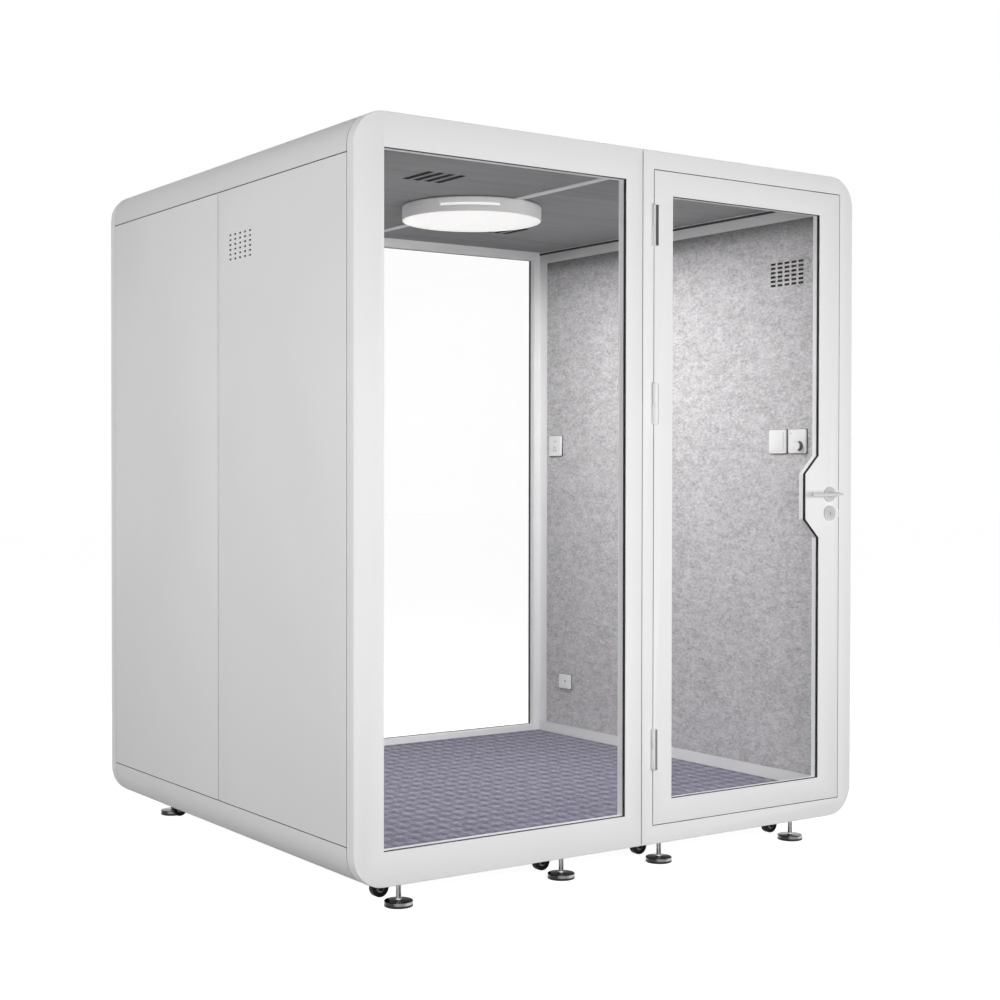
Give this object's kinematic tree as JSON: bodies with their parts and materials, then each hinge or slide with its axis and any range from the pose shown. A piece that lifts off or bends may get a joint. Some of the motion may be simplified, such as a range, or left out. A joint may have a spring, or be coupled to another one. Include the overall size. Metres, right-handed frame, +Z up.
{
  "type": "acoustic office pod",
  "caption": "Free-standing sound-insulated meeting booth with glazed front and rear, a hinged glass door, felt-lined walls, ceiling lamp, levelling feet and castors",
  "frame": {"origin": "on the floor under the middle of the bounding box", "axes": "+Z up, the door side faces -Y, +X to the right seen from the door side"},
  "size_m": [2, 1.855, 2.3],
  "materials": {
    "frame_white": "satin white powder coat on aluminium section",
    "sheet_white": "satin white powder coat on folded steel",
    "panel_grey": "satin pale grey powder coat on folded steel",
    "felt_grey": "mottled pressed polyester felt",
    "ceiling_grey": "dark grey pressed acoustic board",
    "carpet": "woven loop pile",
    "clear_glass": "clear toughened glass",
    "plastic_white": "smooth white moulding",
    "opal": "opal light diffuser",
    "plastic_dark": "black moulding",
    "steel": "brushed stainless steel",
    "hinge_white": "powder-coated hinge",
    "chrome": "polished chrome",
    "castor_black": "black rubber tread"
  },
  "bodies": {
    "shell": {"front_frame_left": "frame_white", "front_frame_right": "frame_white", "rear_frame": "frame_white", "roof_cover": "sheet_white", "base_tray": "sheet_white", "lamp_housing": "sheet_white", "side_panel_left_front": "panel_grey", "side_panel_left_rear": "panel_grey", "side_panel_right_front": "panel_grey", "side_panel_right_rear": "panel_grey", "felt_left": "felt_grey", "felt_right": "felt_grey", "ceiling_left": "ceiling_grey", "ceiling_right": "ceiling_grey", "carpet": "carpet", "front_glass": "clear_glass", "rear_glass_left": "clear_glass", "rear_glass_right": "clear_glass", "socket_upper": "plastic_white", "socket_lower": "plastic_white", "switch_plate": "plastic_white", "dimmer_plate": "plastic_white", "lamp_diffuser": "opal", "fan_housing": "plastic_dark", "hinge_upper": "hinge_white", "hinge_middle": "hinge_white", "hinge_lower": "hinge_white"},
    "door": {"door_frame": "frame_white", "door_glass": "clear_glass"},
    "lever": {"lever_set": "steel"},
    "latch": {"latch_bolt": "steel"},
    "cylinder": {"lock_cylinder": "steel"},
    "bolt": {"deadbolt": "steel"},
    "rocker": {"switch_rocker": "plastic_white"},
    "knob": {"dimmer_knob": "plastic_white"},
    "rotor": {"fan_rotor": "plastic_dark"},
    "foot_f1": {"foot_f1": "chrome"},
    "fork_f1": {"castor_fork_f1": "steel"},
    "wheel_f1": {"castor_wheel_f1": "castor_black"},
    "foot_f2": {"foot_f2": "chrome"},
    "fork_f2": {"castor_fork_f2": "steel"},
    "wheel_f2": {"castor_wheel_f2": "castor_black"},
    "foot_f3": {"foot_f3": "chrome"},
    "fork_f3": {"castor_fork_f3": "steel"},
    "wheel_f3": {"castor_wheel_f3": "castor_black"},
    "foot_f4": {"foot_f4": "chrome"},
    "fork_f4": {"castor_fork_f4": "steel"},
    "wheel_f4": {"castor_wheel_f4": "castor_black"},
    "foot_r1": {"foot_r1": "chrome"},
    "fork_r1": {"castor_fork_r1": "steel"},
    "wheel_r1": {"castor_wheel_r1": "castor_black"},
    "foot_r2": {"foot_r2": "chrome"},
    "fork_r2": {"castor_fork_r2": "steel"},
    "wheel_r2": {"castor_wheel_r2": "castor_black"},
    "foot_r3": {"foot_r3": "chrome"},
    "fork_r3": {"castor_fork_r3": "steel"},
    "wheel_r3": {"castor_wheel_r3": "castor_black"},
    "foot_r4": {"foot_r4": "chrome"},
    "fork_r4": {"castor_fork_r4": "steel"},
    "wheel_r4": {"castor_wheel_r4": "castor_black"}
  },
  "joints": [
    {"name": "door_hinge", "type": "hinge", "parent": "shell", "child": "door", "pos_m": [0.09825, -0.8818, 1.19], "axis": [0, 0, -1], "range_deg": [0, 110]},
    {"name": "lever_turn", "type": "hinge", "parent": "door", "child": "lever", "pos_m": [0.8895, -0.8545, 1.202], "axis": [0, -1, 0], "range_deg": [0, 45], "stiffness_Nm_per_rad": 1.5, "springref_deg": -28.65},
    {"name": "latch_draw", "type": "slide", "parent": "door", "child": "latch", "axis": [1, 0, 0], "range_m": [-0.011, 0]},
    {"name": "cylinder_turn", "type": "hinge", "parent": "door", "child": "cylinder", "pos_m": [0.8895, -0.8545, 1.137], "axis": [0, -1, 0], "range_deg": [0, 90]},
    {"name": "bolt_throw", "type": "slide", "parent": "door", "child": "bolt", "axis": [1, 0, 0], "range_m": [0, 0.018]},
    {"name": "rocker_tilt", "type": "hinge", "parent": "shell", "child": "rocker", "pos_m": [0.9217, -0.5825, 1.389], "axis": [0, 1, 0], "range_deg": [0, 6]},
    {"name": "knob_turn", "type": "hinge", "parent": "shell", "child": "knob", "pos_m": [0.9127, -0.6945, 1.372], "axis": [-1, 0, 0], "range_deg": [0, 270]},
    {"name": "rotor_spin", "type": "hinge", "parent": "shell", "child": "rotor", "pos_m": [-0.421, -0.3815, 2.258], "axis": [0, 0, 1], "continuous": true},
    {"name": "foot_wind_f1", "type": "slide", "parent": "shell", "child": "foot_f1", "axis": [0, 0, 1], "range_m": [0, 0.025]},
    {"name": "foot_wind_f2", "type": "slide", "parent": "shell", "child": "foot_f2", "axis": [0, 0, 1], "range_m": [0, 0.025]},
    {"name": "foot_wind_f3", "type": "slide", "parent": "shell", "child": "foot_f3", "axis": [0, 0, 1], "range_m": [0, 0.025]},
    {"name": "foot_wind_f4", "type": "slide", "parent": "shell", "child": "foot_f4", "axis": [0, 0, 1], "range_m": [0, 0.025]},
    {"name": "foot_wind_r1", "type": "slide", "parent": "shell", "child": "foot_r1", "axis": [0, 0, 1], "range_m": [0, 0.025]},
    {"name": "foot_wind_r2", "type": "slide", "parent": "shell", "child": "foot_r2", "axis": [0, 0, 1], "range_m": [0, 0.025]},
    {"name": "foot_wind_r3", "type": "slide", "parent": "shell", "child": "foot_r3", "axis": [0, 0, 1], "range_m": [0, 0.025]},
    {"name": "foot_wind_r4", "type": "slide", "parent": "shell", "child": "foot_r4", "axis": [0, 0, 1], "range_m": [0, 0.025]},
    {"name": "castor_swivel_f1", "type": "hinge", "parent": "shell", "child": "fork_f1", "pos_m": [-0.797, -0.6925, 0.075], "axis": [0, 0, 1], "continuous": true},
    {"name": "castor_swivel_f2", "type": "hinge", "parent": "shell", "child": "fork_f2", "pos_m": [-0.2, -0.6925, 0.075], "axis": [0, 0, 1], "continuous": true},
    {"name": "castor_swivel_f3", "type": "hinge", "parent": "shell", "child": "fork_f3", "pos_m": [0.2, -0.6925, 0.075], "axis": [0, 0, 1], "continuous": true},
    {"name": "castor_swivel_f4", "type": "hinge", "parent": "shell", "child": "fork_f4", "pos_m": [0.797, -0.6925, 0.075], "axis": [0, 0, 1], "continuous": true},
    {"name": "castor_swivel_r1", "type": "hinge", "parent": "shell", "child": "fork_r1", "pos_m": [-0.797, 0.7475, 0.075], "axis": [0, 0, 1], "continuous": true},
    {"name": "castor_swivel_r2", "type": "hinge", "parent": "shell", "child": "fork_r2", "pos_m": [-0.2, 0.7475, 0.075], "axis": [0, 0, 1], "continuous": true},
    {"name": "castor_swivel_r3", "type": "hinge", "parent": "shell", "child": "fork_r3", "pos_m": [0.2, 0.7475, 0.075], "axis": [0, 0, 1], "continuous": true},
    {"name": "castor_swivel_r4", "type": "hinge", "parent": "shell", "child": "fork_r4", "pos_m": [0.797, 0.7475, 0.075], "axis": [0, 0, 1], "continuous": true},
    {"name": "wheel_spin_f1", "type": "hinge", "parent": "fork_f1", "child": "wheel_f1", "pos_m": [-0.811, -0.6925, 0.038], "axis": [0, 1, 0], "continuous": true},
    {"name": "wheel_spin_f2", "type": "hinge", "parent": "fork_f2", "child": "wheel_f2", "pos_m": [-0.214, -0.6925, 0.038], "axis": [0, 1, 0], "continuous": true},
    {"name": "wheel_spin_f3", "type": "hinge", "parent": "fork_f3", "child": "wheel_f3", "pos_m": [0.186, -0.6925, 0.038], "axis": [0, 1, 0], "continuous": true},
    {"name": "wheel_spin_f4", "type": "hinge", "parent": "fork_f4", "child": "wheel_f4", "pos_m": [0.783, -0.6925, 0.038], "axis": [0, 1, 0], "continuous": true},
    {"name": "wheel_spin_r1", "type": "hinge", "parent": "fork_r1", "child": "wheel_r1", "pos_m": [-0.811, 0.7475, 0.038], "axis": [0, 1, 0], "continuous": true},
    {"name": "wheel_spin_r2", "type": "hinge", "parent": "fork_r2", "child": "wheel_r2", "pos_m": [-0.214, 0.7475, 0.038], "axis": [0, 1, 0], "continuous": true},
    {"name": "wheel_spin_r3", "type": "hinge", "parent": "fork_r3", "child": "wheel_r3", "pos_m": [0.186, 0.7475, 0.038], "axis": [0, 1, 0], "continuous": true},
    {"name": "wheel_spin_r4", "type": "hinge", "parent": "fork_r4", "child": "wheel_r4", "pos_m": [0.783, 0.7475, 0.038], "axis": [0, 1, 0], "continuous": true}
  ],
  "couplings": [
    {"joint": "latch_draw", "follows": "lever_turn", "m_per_rad": -0.014},
    {"joint": "bolt_throw", "follows": "cylinder_turn", "m_per_rad": 0.01145}
  ]
}
